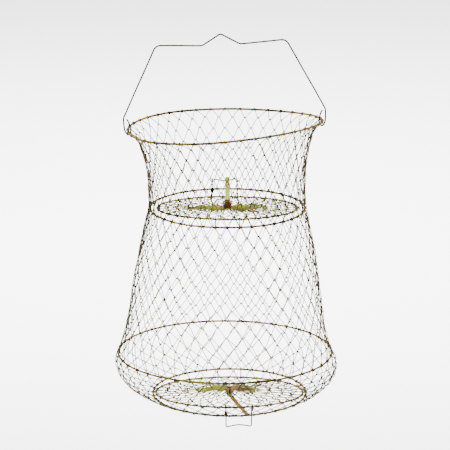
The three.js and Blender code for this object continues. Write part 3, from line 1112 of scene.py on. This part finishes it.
# ---- stage -----------------------------------------------------------------------------------
class TRAP_OT_stage(bpy.types.Operator):
    """Set up the pale floor, the soft lights and the camera"""

    bl_idname = "trap.stage"
    bl_label = "Stage"

    def execute(self, context):
        self.make_floor()
        self.make_lights()
        self.make_camera()
        return {"FINISHED"}

    def make_floor(self):
        """Pale floor that sweeps up into a backdrop."""
        level, reach, back, rise, curve = CAD_BOUNDS[0].z - 0.35, 14.0, 9.0, 9.0, 3.0
        profile = [(-reach, level), (back - curve, level)]
        for k in range(1, 13):
            angle = k * math.pi / 24
            profile.append((back - curve + curve * math.sin(angle), level + curve * (1 - math.cos(angle))))
        profile.append((back, level + rise))
        built = bmesh.new()
        rows = [[built.verts.new((x, y, z)) for x in (-reach, reach)] for y, z in profile]
        for here, there in zip(rows, rows[1:]):
            built.faces.new((here[0], here[1], there[1], there[0]))
        mesh = bpy.data.meshes.new("floor")
        built.to_mesh(mesh)
        built.free()
        mesh.shade_smooth()
        material = bpy.data.materials.new("pale_floor")
        material.use_nodes = True
        shader = material.node_tree.nodes["Principled BSDF"]
        shader.inputs["Base Color"].default_value = (0.97, 0.97, 0.965, 1)
        shader.inputs["Roughness"].default_value = 0.9
        mesh.materials.append(material)
        linked("floor", mesh)

    def make_lights(self):
        world = bpy.data.worlds.new("studio")
        world.use_nodes = True
        world.node_tree.nodes["Background"].inputs["Color"].default_value = (1.0, 1.0, 1.0, 1)
        world.node_tree.nodes["Background"].inputs["Strength"].default_value = 0.88
        bpy.context.scene.world = world
        lamps = [
            ("key", (-2.4, -2.6, 1.6), 30, 1.4), ("fill", (2.8, -2.0, 0.4), 14, 1.6),
            ("backdrop_light", (0, 2.2, 1.6), 680, 3.0),
        ]
        middle = (CAD_BOUNDS[0] + CAD_BOUNDS[1]) / 2
        for name, at, power, size in lamps:
            light = bpy.data.lights.new(name, "AREA")
            light.energy = power
            light.size = size
            lamp = linked(name, light)
            lamp.location = at
            aim = Vector((0, 3.2, -1.0)) if name == "backdrop_light" else middle
            lamp.rotation_euler = (aim - Vector(at)).to_track_quat("-Z", "Y").to_euler()

    def make_camera(self):
        """Level side view from a little above, far enough off for a flat perspective."""
        distance, elevation, focal_share = 4.859, math.radians(14.88), 3200 / 450
        aim = Vector((BELLY_CENTRE.x, 0, NECK_CENTRE.z - 0.0271))
        back = Vector((0, -math.cos(elevation), math.sin(elevation)))
        data = bpy.data.cameras.new("camera")
        data.sensor_width = 36.0
        data.lens = 36.0 * focal_share
        camera = linked("camera", data)
        camera.location = aim + back * distance
        camera.rotation_euler = (-back).to_track_quat("-Z", "Y").to_euler()
        bpy.context.scene.camera = camera


class TRAP_PT_panel(bpy.types.Panel):
    """Lists the trap's sizes, finishes and build steps"""

    bl_idname = "TRAP_PT_panel"
    bl_label = "Folding Wire Trap"
    bl_space_type = "VIEW_3D"
    bl_region_type = "UI"
    bl_category = "Trap"

    def draw(self, context):
        for group in settings():
            box = self.layout.box()
            for name in group.bl_rna.properties.keys():
                if name not in {"rna_type", "name"}:
                    box.prop(group, name)
        for operator in (TRAP_OT_hoops, TRAP_OT_netting, TRAP_OT_bail, TRAP_OT_stage):
            self.layout.operator(operator.bl_idname)
        for operator in (TRAP_OT_lid, TRAP_OT_latch, TRAP_OT_lid_wires):
            for word in LIDS:
                self.layout.operator(operator.bl_idname, text=f"{operator.bl_label}: {word}").word = word


CLASSES = (
    TrapNettingSettings, TrapWireSettings, TrapFinishSettings, TRAP_OT_hoops, TRAP_OT_netting, TRAP_OT_bail,
    TRAP_OT_lid, TRAP_OT_latch, TRAP_OT_lid_wires, TRAP_OT_stage, TRAP_PT_panel,
)


def register():
    for cls in CLASSES:
        bpy.utils.register_class(cls)
    bpy.types.Scene.trap_netting = PointerProperty(type=TrapNettingSettings)
    bpy.types.Scene.trap_wire = PointerProperty(type=TrapWireSettings)
    bpy.types.Scene.trap_finish = PointerProperty(type=TrapFinishSettings)


def unregister():
    del bpy.types.Scene.trap_finish
    del bpy.types.Scene.trap_wire
    del bpy.types.Scene.trap_netting
    for cls in reversed(CLASSES):
        bpy.utils.unregister_class(cls)


def main():
    register()
    bpy.ops.trap.stage()
    bpy.ops.trap.hoops()
    bpy.ops.trap.netting()
    bpy.ops.trap.bail()
    for word in LIDS:
        bpy.ops.trap.lid(word=word)
        bpy.ops.trap.latch(word=word)
        bpy.ops.trap.lid_wires(word=word)


if __name__ == "__main__":
    main()
